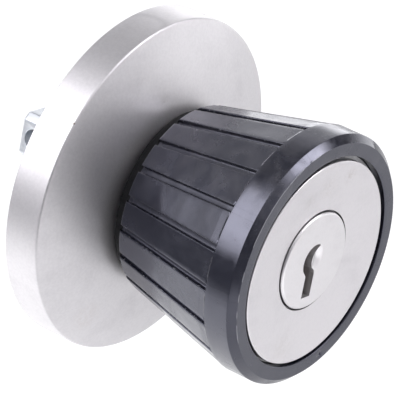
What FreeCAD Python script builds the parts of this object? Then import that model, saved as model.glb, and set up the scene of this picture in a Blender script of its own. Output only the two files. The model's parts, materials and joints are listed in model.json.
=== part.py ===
import FreeCAD, Part
import math
import os
from FreeCAD import Vector

# Lockable cabinet knob on a round rose. The model is drawn along +Z, with z = 0 on the door and the
# keyed front at the top, and is turned at the end so that the lock faces -Y and the keyway stands up.
# All sizes are millimetres and angles are degrees, counted from +X towards the top of the keyway.

# Rose: a pressed cover over a die-cast base plate
rose_radius = 24.95
rose_rim_height = 5.5
rose_dome_rise = 5.0
rose_wall = 1.0
rose_edge_round = 0.4
cover_fit = 0.05
cover_headroom = 0.3
base_rim_wall = 1.6
base_floor_z = 2.4
base_floor_thickness = 1.6
base_rib_thickness = 1.4
base_rib_count = 8
base_rib_setback = 0.5
boss_edge = 0.2
fixing_spacing = 32.0
fixing_post_radius = 4.2
fixing_tap_radius = 1.65
fixing_tap_depth = 4.6

# Bearing of the knob in the base plate
journal_web = 0.9
journal_back_z = 0.5
running_fit = 0.05
retainer_recess_width = 2.75
retainer_recess_depth = 3.4
flange_edge = 0.45
flange_lift = 0.1
flange_thickness = 1.8
flange_to_cover = 0.3
thrust_washer_thickness = 0.5
retainer_edge_gap = 0.4
disc_spring_thickness = 0.35
disc_spring_cone = 0.45
circlip_thickness = 0.95
circlip_groove_depth = 0.4
circlip_radial_width = 2.1
circlip_opening = 44.0
circlip_angle = 270.0
circlip_ear_radius = 1.1
circlip_ear_hole = 0.45

# Quarter-turn stop between the knob and the base plate
turn_range = 90.0
stop_lug_angle = 250.0
stop_lug_half_angle = 5.0
stop_lug_inset = 1.7
stop_lug_width = 1.9
stop_lug_depth = 1.6
stop_play = 0.4
stop_fit = 0.12

# Square spindle
spindle_width = 7.0
spindle_edge_chamfer = 0.95
spindle_end_chamfer = 0.35
spindle_tail_length = 16.2
spindle_depth = 8.4
socket_fit = 0.05
cross_hole_radius = 1.5
cross_hole_from_end = 2.35
roll_pin_radius = 1.0
roll_pin_wall = 0.45
roll_pin_z = 5.2
roll_pin_slot = 0.5
roll_pin_end_gap = 0.2
snug_fit = 0.02

# Knob moulding
knob_back_radius = 14.22
knob_back_round = 1.1
flute_top_radius = 18.6
flute_count = 20
flute_groove_width = 0.95
flute_groove_depth = 0.8
flute_phase = 4.4
collar_step = 0.05
collar_length = 4.91
collar_chamfer = 1.0
front_land = 1.95
neck_step = 1.32
neck_length = 1.5
neck_to_rose = 0.22
knob_floor_thickness = 2.5
knob_back_wall = 2.32
core_bore_length = 2.0
disc_seat_width = 0.4
knob_rib_count = 6
knob_rib_thickness = 1.4

# Face disc, slightly dished towards the plug
disc_gap = 0.55
disc_sink = 0.07
disc_dish = 0.62
disc_rim_thickness = 1.37
disc_edge_round = 0.17
disc_hole_clearance = 0.1

# Cylinder housing
housing_fit = 0.1
housing_flange_gap = 0.1
housing_flange_thickness = 2.0
housing_wall = 1.0
cam_room_length = 8.5
screw_inset = 1.2
screw_angles = (205.0, 335.0)
screw_lug_radius = 2.1
screw_radius = 1.25
screw_length = 9.5
screw_head_radius = 2.15
screw_head_depth = 1.1
screw_head_sink = 0.05
screw_hole_clearance = 0.1
screw_slot_width = 0.6
screw_slot_depth = 0.5

# Plug, keyway and wafers
plug_radius = 5.95
plug_head_radius = 7.2
plug_head_thickness = 2.45
plug_sink = 0.34
plug_edge_round = 0.4
plug_tail_radius = 2.9
plug_tail_flat = 2.1
plug_tail_length = 2.9
keyway_depth = 13.0
key_foot_low = -5.35
key_stem_left = -1.53
key_stem_right = 0.41
key_shoulder = -2.0
key_back_foot = (-2.35, -1.0)
key_back_bulge = (-2.35, 1.15)
key_tip_top = (0.55, 2.5)
key_tip_low = (0.7, 2.25)
key_hook = (-0.6, 0.9)
key_rib_foot = (-0.35, -0.95)
key_dimple = (0.28, -1.5)
wafer_count = 5
wafer_pitch = 1.75
wafer_first_gap = 2.8
wafer_last_gap = 1.75
wafer_thickness = 0.8
wafer_slot_thickness = 1.0
wafer_width = 5.0
wafer_side_fit = 0.1
wafer_shear_gap = 0.08
wafer_travel = 0.9
wafer_window_width = 2.6
wafer_window_height = 4.6
wafer_window_steps = (0.0, 0.5, -0.3, 0.8, 0.2)
wafer_ear_length = 1.25
wafer_ear_height = 0.8
wafer_ear_y = 1.6
wafer_well_low = -2.6
wafer_spring_wire = 0.09
wafer_spring_turns = 4
channel_width = 5.4
channel_clearance = 0.3

# Ramp cam and locking pin
lock_pin_inset = 2.0
lock_pin_angle = 90.0
lock_pin_radius = 1.0
lock_pin_fit = 0.06
lock_pin_lift = 2.5
lock_pin_rest_gap = 0.3
lock_pin_head_radius = 1.6
lock_pin_head_thickness = 1.0
lock_pin_dome_radius = 4.0
lock_pin_tip_chamfer = 0.25
lock_pin_head_gap = 0.12
notch_spare_depth = 0.4
ramp_edge_gap = 0.2
ramp_low_thickness = 1.5
ramp_lead_angle = 11.0
ramp_steps = 16
cam_hub_length = 3.05
cam_play = 0.05
cam_screw_head_thickness = 1.4
cam_screw_radius = 0.8
cam_screw_length = 3.4
bolt_spring_radius = 1.32
bolt_spring_wire = 0.15
bolt_spring_turns = 6
bolt_spring_end_gap = 0.05

# Radii that follow, from the knob's small end inwards and from its wide end to the disc
neck_radius = knob_back_radius - neck_step
core_bore_radius = knob_back_radius - knob_back_wall
housing_radius = core_bore_radius - housing_fit
cam_room_radius = housing_radius - housing_wall
screw_circle_radius = cam_room_radius - screw_inset
lock_pin_circle = cam_room_radius - lock_pin_inset
ramp_outer_radius = cam_room_radius - ramp_edge_gap
ramp_inner_radius = lock_pin_circle - lock_pin_head_radius
cam_hub_radius = (plug_tail_radius + ramp_inner_radius) / 2
cam_screw_head_radius = (plug_tail_radius + cam_hub_radius) / 2
flange_radius = screw_circle_radius + screw_head_radius + flange_edge
cover_hole_radius = flange_radius + flange_to_cover
boss_radius = flange_radius + boss_edge
stop_lug_outer = flange_radius - stop_lug_inset
stop_lug_inner = stop_lug_outer - stop_lug_width
base_radius = rose_radius - rose_wall - cover_fit
journal_radius = screw_circle_radius - screw_radius - screw_hole_clearance - journal_web
bearing_radius = journal_radius + running_fit
retainer_recess_radius = bearing_radius + retainer_recess_width
groove_radius = journal_radius - circlip_groove_depth
collar_radius = flute_top_radius - collar_step
disc_bore_radius = collar_radius - collar_chamfer - front_land
disc_radius = disc_bore_radius - disc_gap
cavity_front_radius = disc_bore_radius - disc_seat_width
dome_radius = (rose_radius ** 2 + rose_dome_rise ** 2) / (2 * rose_dome_rise)

# Heights that follow, from the door to the front
dome_centre_z = rose_rim_height + rose_dome_rise - dome_radius
neck_z = dome_centre_z + math.sqrt(dome_radius ** 2 - cover_hole_radius ** 2) + neck_to_rose
flange_back_z = neck_z - flange_thickness
boss_top_z = flange_back_z - flange_lift
knob_back_z = neck_z + neck_length
knob_floor_z = neck_z + knob_floor_thickness
cam_room_front_z = knob_floor_z + cam_room_length
wafer_first_z = cam_room_front_z + wafer_first_gap
plug_head_back_z = wafer_first_z + (wafer_count - 1) * wafer_pitch + wafer_last_gap
plug_face_z = plug_head_back_z + plug_head_thickness
front_z = plug_face_z + plug_sink
collar_chamfer_z = front_z - collar_chamfer
flute_top_z = front_z - collar_length
disc_rim_z = front_z - disc_sink
disc_centre_z = disc_rim_z - disc_dish
disc_seat_z = disc_rim_z - disc_rim_thickness
housing_flange_back_z = disc_seat_z - housing_flange_thickness
thrust_washer_z = retainer_recess_depth - thrust_washer_thickness
circlip_z = thrust_washer_z - disc_spring_thickness - disc_spring_cone - running_fit - circlip_thickness
plug_back_z = cam_room_front_z + cam_play
cam_high_z = cam_room_front_z - cam_play
cam_back_z = cam_high_z - cam_hub_length
ramp_rest_z = cam_high_z - ramp_low_thickness
lock_pin_head_z = ramp_rest_z - lock_pin_head_gap
head_edge_z = lock_pin_head_z - lock_pin_head_radius ** 2 / (2 * lock_pin_dome_radius)
head_under_z = head_edge_z - lock_pin_head_thickness
lock_pin_tip_z = boss_top_z + lock_pin_rest_gap
notch_depth = lock_pin_lift - lock_pin_rest_gap + notch_spare_depth

# How far cutting shapes run past what they cut, and how near two edges count as the same
reach = 60.0
touch = 1e-3


def cylinder(radius, low, high, x=0.0, y=0.0):
    return Part.makeCylinder(radius, high - low, Vector(x, y, low))


def ring(outer, inner, low, high):
    return cylinder(outer, low, high).cut(cylinder(inner, low, high))


def block(width, height, low, high, x=0.0, y=0.0):
    return Part.makeBox(width, height, high - low, Vector(x - width / 2, y - height / 2, low))


def polar(radius, angle):
    turn = math.radians(angle)
    return radius * math.cos(turn), radius * math.sin(turn)


def spun(shape, angle):
    copy = shape.copy()
    copy.rotate(Vector(0, 0, 0), Vector(0, 0, 1), angle)
    return copy


def prism(points, low, high):
    corners = [Vector(x, y, low) for x, y in points]
    face = Part.Face(Part.makePolygon(corners + corners[:1]))
    return face.extrude(Vector(0, 0, high - low))


def turned(profile):
    corners = [Vector(r, 0, z) for r, z in profile]
    face = Part.Face(Part.makePolygon(corners + corners[:1]))
    return face.revolve(Vector(0, 0, 0), Vector(0, 0, 1), 360)


def sector(outer, inner, start, end, low, high):
    wedge = Part.makeCylinder(outer, high - low, Vector(0, 0, low), Vector(0, 0, 1), end - start)
    wedge.rotate(Vector(0, 0, 0), Vector(0, 0, 1), start)
    return wedge.cut(cylinder(inner, low, high)) if inner > 0 else wedge


def ring_edges(shape, radius, height):
    """Circular edges of one radius at one height."""
    found = []
    for edge in shape.Edges:
        box = edge.BoundBox
        level = abs(box.ZMin - height) < touch and abs(box.ZMax - height) < touch
        if level and abs(box.XMax - radius) < touch:
            found.append(edge)
    return found


def coil(radius, wire, turns, length):
    """Round-wire compression spring standing on z = 0."""
    path = Part.makeHelix((length - 2 * wire) / turns, length - 2 * wire, radius)
    section = Part.Wire(Part.makeCircle(wire, Vector(radius, 0, 0), Vector(0, 1, 0)))
    pipe = Part.Wire(path.Edges).makePipeShell([section], True, True)
    pipe.translate(Vector(0, 0, wire))
    return pipe


def spindle_section(width, low, high):
    """Square bar with flattened long edges."""
    half = width / 2
    cut = half - spindle_edge_chamfer
    points = [(half, -cut), (half, cut), (cut, half), (-cut, half)]
    points += [(-half, cut), (-half, -cut), (-cut, -half), (cut, -half)]
    return prism(points, low, high)


def domed(radius, sphere):
    """Short cylinder closed by the rose's dome."""
    top = rose_rim_height + rose_dome_rise
    return cylinder(radius, 0, top).common(Part.makeSphere(sphere, Vector(0, 0, dome_centre_z)))


def rose_cover():
    shell = domed(rose_radius, dome_radius)
    shell = shell.makeFillet(rose_edge_round, ring_edges(shell, rose_radius, rose_rim_height))
    shell = shell.cut(domed(rose_radius - rose_wall, dome_radius - rose_wall))
    return shell.cut(cylinder(cover_hole_radius, 0, reach))


def base_post(side):
    """Fixing post that stays under the dome, with its tapped hole open to the door."""
    x = side * fixing_spacing / 2
    far = abs(x) + fixing_post_radius
    top = dome_centre_z + math.sqrt((dome_radius - rose_wall) ** 2 - far ** 2) - cover_headroom
    post = cylinder(fixing_post_radius, 0, top, x)
    return post, cylinder(fixing_tap_radius, 0, fixing_tap_depth, x)


def base_plate():
    floor_top = base_floor_z + base_floor_thickness
    plate = ring(base_radius, base_radius - base_rim_wall, 0, floor_top)
    plate = plate.fuse(cylinder(base_radius, base_floor_z, floor_top))
    plate = plate.fuse(cylinder(boss_radius, 0, boss_top_z))
    rib_length = base_radius - base_rim_wall / 2
    for number in range(base_rib_count):
        rib = block(rib_length, base_rib_thickness, base_rib_setback, base_floor_z, rib_length / 2)
        plate = plate.fuse(spun(rib, (number + 0.5) * 360 / base_rib_count))
    holes = [cylinder(bearing_radius, 0, boss_top_z)]
    holes.append(cylinder(retainer_recess_radius, 0, retainer_recess_depth))
    for side in (-1, 1):
        post, hole = base_post(side)
        plate = plate.fuse(post)
        holes.append(hole)
    for angle in (lock_pin_angle, lock_pin_angle + turn_range):
        x, y = polar(lock_pin_circle, angle)
        holes.append(cylinder(lock_pin_radius + lock_pin_fit, boss_top_z - notch_depth, boss_top_z, x, y))
    first = stop_lug_angle - stop_lug_half_angle - stop_play
    last = stop_lug_angle + turn_range + stop_lug_half_angle + stop_play
    low = flange_back_z - stop_lug_depth - stop_fit
    outer, inner = stop_lug_outer + stop_fit, stop_lug_inner - stop_fit
    holes.append(sector(outer, inner, first, last, low, boss_top_z))
    return plate.cut(holes).removeSplitter()


def thrust_washer():
    outer = retainer_recess_radius - retainer_edge_gap
    return ring(outer, bearing_radius + running_fit, thrust_washer_z, retainer_recess_depth)


def disc_spring():
    """Conical washer that takes up the end play."""
    inner = bearing_radius + running_fit
    outer = retainer_recess_radius - retainer_edge_gap
    low = circlip_z + circlip_thickness + running_fit / 2
    high = low + disc_spring_cone
    thick = disc_spring_thickness
    return turned([(inner, high), (outer, low), (outer, low + thick), (inner, high + thick)])


def circlip():
    inner = groove_radius + running_fit
    outer = inner + circlip_radial_width - running_fit
    low, high = circlip_z, circlip_z + circlip_thickness
    half = circlip_opening / 2
    opening = sector(reach, 0, circlip_angle - half, circlip_angle + half, low, high)
    clip = ring(outer, inner, low, high).cut(opening)
    middle = outer - circlip_ear_radius
    for angle in (circlip_angle - half, circlip_angle + half):
        x, y = polar(middle, angle)
        clip = clip.fuse(cylinder(circlip_ear_radius, low, high, x, y))
        clip = clip.cut(cylinder(circlip_ear_hole, low, high, x, y))
    return clip.cut(cylinder(inner, low, high)).removeSplitter()


def screw_places():
    return [polar(screw_circle_radius, angle) for angle in screw_angles]


def roll_pin_rod(radius, length):
    return Part.makeCylinder(radius, length, Vector(0, -length / 2, roll_pin_z), Vector(0, 1, 0))


def hub():
    body = cylinder(journal_radius, journal_back_z, flange_back_z)
    body = body.fuse(cylinder(flange_radius, flange_back_z, neck_z))
    body = body.fuse(cylinder(journal_radius, neck_z, knob_floor_z - flange_lift))
    first, last = stop_lug_angle - stop_lug_half_angle, stop_lug_angle + stop_lug_half_angle
    lug = sector(stop_lug_outer, stop_lug_inner, first, last, flange_back_z - stop_lug_depth, flange_back_z)
    body = body.fuse(lug).removeSplitter()
    groove_high = circlip_z + circlip_thickness + snug_fit
    holes = [ring(journal_radius + flange_lift, groove_radius, circlip_z - snug_fit, groove_high)]
    holes.append(spindle_section(spindle_width + 2 * socket_fit, 0, spindle_depth + socket_fit))
    holes.append(roll_pin_rod(roll_pin_radius + snug_fit, reach))
    for x, y in screw_places():
        holes.append(cylinder(screw_radius + screw_hole_clearance, 0, reach, x, y))
        wide = screw_head_radius + screw_hole_clearance
        sink = Part.makeCone(wide, screw_radius + screw_hole_clearance, screw_head_depth + screw_head_sink,
                             Vector(x, y, flange_back_z))
        holes.append(sink)
    x, y = polar(lock_pin_circle, lock_pin_angle)
    holes.append(cylinder(lock_pin_radius + lock_pin_fit, 0, reach, x, y))
    return body.cut(holes)


def spindle():
    bar = spindle_section(spindle_width, -spindle_tail_length, spindle_depth)
    end = [edge for edge in bar.Edges if edge.BoundBox.ZMax < touch - spindle_tail_length]
    bar = bar.makeChamfer(spindle_end_chamfer, end)
    hole_z = cross_hole_from_end - spindle_tail_length
    cross = Part.makeCylinder(cross_hole_radius, reach, Vector(-reach / 2, 0, hole_z), Vector(1, 0, 0))
    return bar.cut([cross, roll_pin_rod(roll_pin_radius + snug_fit, reach)])


def spindle_pin():
    """Slotted spring pin across the hub and the spindle, kept in place by the bearing."""
    length = 2 * (journal_radius - roll_pin_end_gap)
    tube = roll_pin_rod(roll_pin_radius, length)
    bore = roll_pin_rod(roll_pin_radius - roll_pin_wall, length)
    corner = Vector(0, -length / 2, roll_pin_z - roll_pin_slot / 2)
    return tube.cut([bore, Part.makeBox(roll_pin_radius, length, roll_pin_slot, corner)])


def polygon_wire(radius, height):
    points = []
    for number in range(flute_count + 1):
        x, y = polar(radius, flute_phase + number * 360 / flute_count)
        points.append(Vector(x, y, height))
    return Part.makePolygon(points)


def groove_cutter():
    """Square groove along one corner of the fluted body, open at the small end."""
    rise = flute_top_z - knob_back_z
    slope = math.degrees(math.atan2(flute_top_radius - knob_back_radius, rise))
    tool = Part.makeBox(2 * flute_groove_depth, flute_groove_width, 2 * rise,
                        Vector(-flute_groove_depth, -flute_groove_width / 2, -rise / 2))
    tool.rotate(Vector(0, 0, 0), Vector(0, 1, 0), slope)
    tool.translate(Vector(knob_back_radius, 0, knob_back_z))
    return tool


def rounded_back():
    """Turned blank whose back edge is an arc, tangent to the back face and to the taper."""
    lean = math.atan2(flute_top_radius - knob_back_radius, flute_top_z - knob_back_z)
    run = knob_back_round * math.tan((math.pi / 2 - lean) / 2)
    centre = Vector(knob_back_radius - run, 0, knob_back_z + knob_back_round)
    rim = []
    for angle in (-math.pi / 2, -math.pi / 4 - lean / 2, -lean):
        rim.append(centre + Vector(math.cos(angle), 0, math.sin(angle)) * knob_back_round)
    corners = [rim[2], Vector(reach, 0, flute_top_z), Vector(0, 0, flute_top_z)]
    corners += [Vector(0, 0, knob_back_z), rim[0]]
    wire = Part.Wire([Part.Arc(*rim).toShape()] + Part.makePolygon(corners).Edges)
    return Part.Face(wire).revolve(Vector(0, 0, 0), Vector(0, 0, 1), 360)


def fluted_body():
    """Tapered body with flat lands, a rounded back edge and a groove at each corner."""
    lower, upper = polygon_wire(knob_back_radius, knob_back_z), polygon_wire(flute_top_radius, flute_top_z)
    body = Part.makeLoft([lower, upper], True, True).common(rounded_back())
    cutter = groove_cutter()
    turns = [flute_phase + number * 360 / flute_count for number in range(flute_count)]
    return body.cut([spun(cutter, angle) for angle in turns])


def collar():
    tip = collar_radius - collar_chamfer
    return turned([(0, flute_top_z), (collar_radius, flute_top_z), (collar_radius, collar_chamfer_z),
                   (tip, front_z), (0, front_z)])


def knob_cavity():
    """Room inside the moulding, less the ribs that centre the cylinder housing."""
    wide_z = knob_floor_z + core_bore_length
    room = turned([(0, knob_floor_z), (core_bore_radius, knob_floor_z), (core_bore_radius, wide_z),
                   (cavity_front_radius, housing_flange_back_z), (0, housing_flange_back_z)])
    ribs = []
    for number in range(knob_rib_count):
        rib = block(reach, knob_rib_thickness, wide_z, housing_flange_back_z, reach / 2)
        rib = rib.cut(cylinder(core_bore_radius, wide_z, housing_flange_back_z))
        ribs.append(spun(rib, (number + 0.5) * 360 / knob_rib_count))
    return room.cut(ribs)


def knob_shell():
    shell = fluted_body().fuse(collar()).fuse(cylinder(neck_radius, neck_z, knob_back_z))
    holes = [knob_cavity(), cylinder(disc_bore_radius, housing_flange_back_z, front_z)]
    holes.append(cylinder(journal_radius + running_fit, neck_z, knob_floor_z))
    for x, y in screw_places():
        holes.append(cylinder(screw_radius + screw_hole_clearance, neck_z, knob_floor_z, x, y))
    x, y = polar(lock_pin_circle, lock_pin_angle)
    holes.append(cylinder(lock_pin_radius + lock_pin_fit, neck_z, knob_floor_z, x, y))
    return shell.cut(holes).removeSplitter()


def face_disc():
    hole = plug_head_radius + disc_hole_clearance
    edge_z = disc_rim_z - disc_edge_round
    return turned([(hole, disc_seat_z), (disc_radius, disc_seat_z), (disc_radius, edge_z),
                   (disc_radius - disc_edge_round, disc_rim_z), (hole, disc_centre_z)])


def cylinder_housing():
    body = cylinder(housing_radius, knob_floor_z, housing_flange_back_z)
    body = body.fuse(cylinder(disc_bore_radius - housing_flange_gap, housing_flange_back_z, disc_seat_z))
    room = cylinder(cam_room_radius, knob_floor_z, cam_room_front_z)
    lugs = [cylinder(screw_lug_radius, knob_floor_z, cam_room_front_z, x, y) for x, y in screw_places()]
    bore = plug_radius + running_fit
    holes = [room.cut(lugs), cylinder(bore, cam_room_front_z, reach)]
    holes.append(cylinder(plug_head_radius + running_fit, plug_head_back_z - running_fit, reach))
    depth = plug_radius + wafer_travel + channel_clearance
    for angle in (0, 90):
        low = wafer_first_z - wafer_slot_thickness / 2 - channel_clearance
        channel = block(2 * depth, channel_width, low, plug_head_back_z)
        holes.append(spun(channel, angle))
    for x, y in screw_places():
        top = flange_back_z + screw_head_sink + screw_length + screw_hole_clearance
        holes.append(cylinder(screw_radius + snug_fit, knob_floor_z, top, x, y))
    return body.cut(holes).removeSplitter()


def housing_screws():
    """Two countersunk screws that clamp the hub, the moulding and the housing together."""
    low = flange_back_z + screw_head_sink
    screws = []
    for x, y in screw_places():
        head = Part.makeCone(screw_head_radius, screw_radius, screw_head_depth, Vector(x, y, low))
        screw = head.fuse(cylinder(screw_radius, low + screw_head_depth, low + screw_length, x, y))
        slot = block(2 * screw_head_radius, screw_slot_width, low, low + screw_slot_depth, x, y)
        screws.append(screw.cut(slot))
    return Part.makeCompound(screws)


def keyway(low, high):
    """Upright stem with a hooked upper blade, as the key's section."""
    def at(point):
        return Vector(point[0], point[1], low)
    foot_left, foot_right = at((key_stem_left, key_foot_low)), at((key_stem_right, key_foot_low))
    neck_left, neck_right = at((key_stem_left, key_shoulder)), at((key_stem_right, key_shoulder))
    outline = [
        Part.LineSegment(foot_left, neck_left),
        Part.LineSegment(neck_left, at(key_back_foot)),
        Part.Arc(at(key_back_foot), at(key_back_bulge), at(key_tip_top)),
        Part.LineSegment(at(key_tip_top), at(key_tip_low)),
        Part.Arc(at(key_tip_low), at(key_hook), at(key_rib_foot)),
        Part.Arc(at(key_rib_foot), at(key_dimple), neck_right),
        Part.LineSegment(neck_right, foot_right),
        Part.LineSegment(foot_right, foot_left),
    ]
    wire = Part.Wire([piece.toShape() for piece in outline])
    return Part.Face(wire).extrude(Vector(0, 0, high - low))


def wafer_z(number):
    return wafer_first_z + number * wafer_pitch


def well_side():
    return wafer_width / 2 + wafer_ear_length + wafer_side_fit


def plug():
    body = cylinder(plug_radius, plug_back_z, plug_head_back_z)
    head = cylinder(plug_head_radius, plug_head_back_z, plug_face_z)
    head = head.makeFillet(plug_edge_round, ring_edges(head, plug_head_radius, plug_face_z))
    tail_low = plug_back_z - plug_tail_length
    tail = cylinder(plug_tail_radius, tail_low, plug_back_z)
    tail = tail.common(block(reach, 2 * plug_tail_flat, tail_low, plug_back_z))
    body = body.fuse([head, tail])
    holes = [keyway(plug_face_z - keyway_depth, front_z)]
    holes.append(cylinder(cam_screw_radius + snug_fit, tail_low, cam_back_z + cam_screw_length + snug_fit))
    slot_width = wafer_width + 2 * wafer_side_fit
    for number in range(wafer_count):
        low = wafer_z(number) - wafer_slot_thickness / 2
        high = low + wafer_slot_thickness
        holes.append(block(slot_width, reach, low, high))
        well_top = wafer_ear_y + wafer_ear_height + wafer_travel + wafer_side_fit
        corner = Vector(0, wafer_well_low, low)
        holes.append(Part.makeBox(well_side(), well_top - wafer_well_low, high - low, corner))
    return body.cut(holes).removeSplitter()


def wafer(number):
    """Flat wafer with the key window at its own height and a side ear for the spring."""
    low = wafer_z(number) - wafer_thickness / 2
    high = low + wafer_thickness
    plate = block(wafer_width, reach, low, high).common(cylinder(plug_radius - wafer_shear_gap, low, high))
    ear_length = well_side() - wafer_side_fit
    ear = Part.makeBox(ear_length, wafer_ear_height, high - low, Vector(0, wafer_ear_y, low))
    middle = (key_stem_left + key_stem_right) / 2
    window_y = key_shoulder + wafer_window_steps[number]
    window = block(wafer_window_width, wafer_window_height, low, high, middle, window_y)
    return plate.fuse(ear).cut(window).removeSplitter()


def wafer_spring(number):
    radius = min(wafer_ear_length / 2 - wafer_side_fit, wafer_slot_thickness / 2) - wafer_spring_wire
    length = wafer_ear_y - wafer_well_low - 2 * wafer_side_fit
    spring = coil(radius, wafer_spring_wire, wafer_spring_turns, length)
    spring.rotate(Vector(0, 0, 0), Vector(1, 0, 0), -90)
    across = wafer_width / 2 + wafer_side_fit + wafer_ear_length / 2
    spring.translate(Vector(across, wafer_well_low + wafer_side_fit, wafer_z(number)))
    return spring


def ramp_section(angle):
    """Radial section of the ramp, which climbs evenly with the angle."""
    low = ramp_rest_z - lock_pin_lift * (lock_pin_angle - angle) / turn_range
    corners = []
    for radius, height in ((ramp_inner_radius, low), (ramp_outer_radius, low),
                           (ramp_outer_radius, cam_high_z), (ramp_inner_radius, cam_high_z)):
        x, y = polar(radius, angle)
        corners.append(Vector(x, y, height))
    return Part.makePolygon(corners + corners[:1])


def ramp_cam():
    first = lock_pin_angle - turn_range - ramp_lead_angle
    last = lock_pin_angle + ramp_lead_angle
    step = (last - first) / ramp_steps
    sections = [ramp_section(first + number * step) for number in range(ramp_steps + 1)]
    ramp = Part.makeLoft(sections, True, True)
    web = sector(ramp_inner_radius + running_fit, 0, first, last, ramp_rest_z, cam_high_z)
    body = cylinder(cam_hub_radius, cam_back_z, cam_high_z).fuse([web, ramp])
    bore = cylinder(plug_tail_radius + running_fit, cam_back_z, cam_high_z)
    bore = bore.common(block(reach, 2 * (plug_tail_flat + running_fit), cam_back_z, cam_high_z))
    return body.cut(bore).removeSplitter()


def cam_screw():
    low = cam_back_z - cam_screw_head_thickness
    head = cylinder(cam_screw_head_radius, low, cam_back_z)
    slot = block(2 * cam_screw_head_radius, screw_slot_width, low, low + screw_slot_depth)
    return head.fuse(cylinder(cam_screw_radius, cam_back_z, cam_back_z + cam_screw_length)).cut(slot)


def locking_pin():
    """Headed pin. The plug's ramp pushes its domed head and the spring brings it back."""
    x, y = polar(lock_pin_circle, lock_pin_angle)
    tip = lock_pin_radius - lock_pin_tip_chamfer
    profile = [(0, lock_pin_tip_z), (tip, lock_pin_tip_z),
               (lock_pin_radius, lock_pin_tip_z + lock_pin_tip_chamfer),
               (lock_pin_radius, head_under_z), (lock_pin_head_radius, head_under_z),
               (lock_pin_head_radius, lock_pin_head_z), (0, lock_pin_head_z)]
    pin = turned(profile)
    ball = Part.makeSphere(lock_pin_dome_radius, Vector(0, 0, lock_pin_head_z - lock_pin_dome_radius))
    column = cylinder(lock_pin_head_radius, lock_pin_tip_z, head_under_z)
    pin = pin.common(column.fuse(ball.common(cylinder(lock_pin_head_radius, head_under_z, lock_pin_head_z))))
    pin.translate(Vector(x, y, 0))
    return pin.removeSplitter()


def bolt_spring():
    x, y = polar(lock_pin_circle, lock_pin_angle)
    length = head_under_z - knob_floor_z - 2 * bolt_spring_end_gap
    spring = coil(bolt_spring_radius, bolt_spring_wire, bolt_spring_turns, length)
    spring.translate(Vector(x, y, knob_floor_z + bolt_spring_end_gap))
    return spring


def write(name, shape):
    shape.rotate(Vector(0, 0, 0), Vector(1, 0, 0), 90)
    shape.exportStep("parts/" + name + ".step")
    print(name, "solids", len(shape.Solids), "valid", shape.isValid(), "volume", round(shape.Volume, 2))


def main():
    os.makedirs("parts", exist_ok=True)
    makers = (rose_cover, base_plate, thrust_washer, disc_spring, circlip, hub, spindle, spindle_pin,
              knob_shell, face_disc, cylinder_housing, housing_screws, plug, ramp_cam, cam_screw,
              locking_pin, bolt_spring)
    for maker in makers:
        write(maker.__name__, maker())
    for number in range(wafer_count):
        write("wafer_%d" % (number + 1), wafer(number))
        write("wafer_spring_%d" % (number + 1), wafer_spring(number))


main()
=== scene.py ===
import bpy
import json
import numpy as np
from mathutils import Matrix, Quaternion, Vector


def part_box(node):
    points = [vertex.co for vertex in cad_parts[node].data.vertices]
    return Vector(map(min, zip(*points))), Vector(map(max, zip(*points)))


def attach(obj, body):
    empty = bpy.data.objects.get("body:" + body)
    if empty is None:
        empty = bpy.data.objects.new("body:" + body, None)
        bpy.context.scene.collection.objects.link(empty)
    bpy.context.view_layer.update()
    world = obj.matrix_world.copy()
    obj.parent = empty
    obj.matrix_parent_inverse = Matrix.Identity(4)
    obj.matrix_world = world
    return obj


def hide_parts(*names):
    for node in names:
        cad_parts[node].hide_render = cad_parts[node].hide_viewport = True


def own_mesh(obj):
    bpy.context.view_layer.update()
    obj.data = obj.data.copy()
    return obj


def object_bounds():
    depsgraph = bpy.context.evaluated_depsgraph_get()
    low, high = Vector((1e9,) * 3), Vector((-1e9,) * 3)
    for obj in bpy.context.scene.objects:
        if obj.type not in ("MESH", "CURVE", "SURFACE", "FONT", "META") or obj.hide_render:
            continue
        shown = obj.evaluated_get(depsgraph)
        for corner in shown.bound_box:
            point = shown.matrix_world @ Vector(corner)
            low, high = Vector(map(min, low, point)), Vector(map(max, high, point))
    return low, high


# Cabinet knob lock: black fluted knob with a keyed cylinder on a round satin nickel rose.
# The lock's axis is Y through x = z = 0 and the front looks to -Y. Profiles are given as
# (radius, height in front of the door) in millimetres and are put into the mesh in metres.

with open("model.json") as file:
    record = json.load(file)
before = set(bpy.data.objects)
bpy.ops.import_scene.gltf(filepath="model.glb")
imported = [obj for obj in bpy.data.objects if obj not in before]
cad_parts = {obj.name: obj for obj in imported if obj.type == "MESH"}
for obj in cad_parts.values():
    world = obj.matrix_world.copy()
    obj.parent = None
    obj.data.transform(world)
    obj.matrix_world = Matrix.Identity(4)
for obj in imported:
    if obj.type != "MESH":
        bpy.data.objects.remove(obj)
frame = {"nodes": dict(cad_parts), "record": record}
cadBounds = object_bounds()
nodes = frame["nodes"]
mm = 0.001
print("frame loaded:", len(nodes), "nodes")


def roundCorners(points, radii, steps=6):
    # each corner of the polyline is swapped for an arc of its own radius, tangent to both sides;
    # a corner without a radius, or as good as straight, stays a point
    pts = np.array(points, float)
    straight = 1e-3
    out = [pts[:1]]
    for k in range(1, len(pts) - 1):
        a, b, c = pts[k - 1], pts[k], pts[k + 1]
        u, v = (a - b) / np.linalg.norm(a - b), (c - b) / np.linalg.norm(c - b)
        half = np.arccos(np.clip(u @ v, -1, 1)) / 2
        radius = radii[k]
        if radius <= 0 or abs(half - np.pi / 2) < straight:
            out.append(b[None])
            continue
        run = radius / np.tan(half)
        middle = b + (u + v) / np.linalg.norm(u + v) * radius / np.sin(half)
        p, q = b + u * run - middle, b + v * run - middle
        turn = np.arctan2(p[0] * q[1] - p[1] * q[0], p @ q)
        t = np.linspace(0, 1, steps + 1)[:, None] * turn
        arc = np.hstack([p[0] * np.cos(t) - p[1] * np.sin(t), p[0] * np.sin(t) + p[1] * np.cos(t)])
        out.append(middle + arc)
    out.append(pts[-1:])
    return np.vstack(out)


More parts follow.
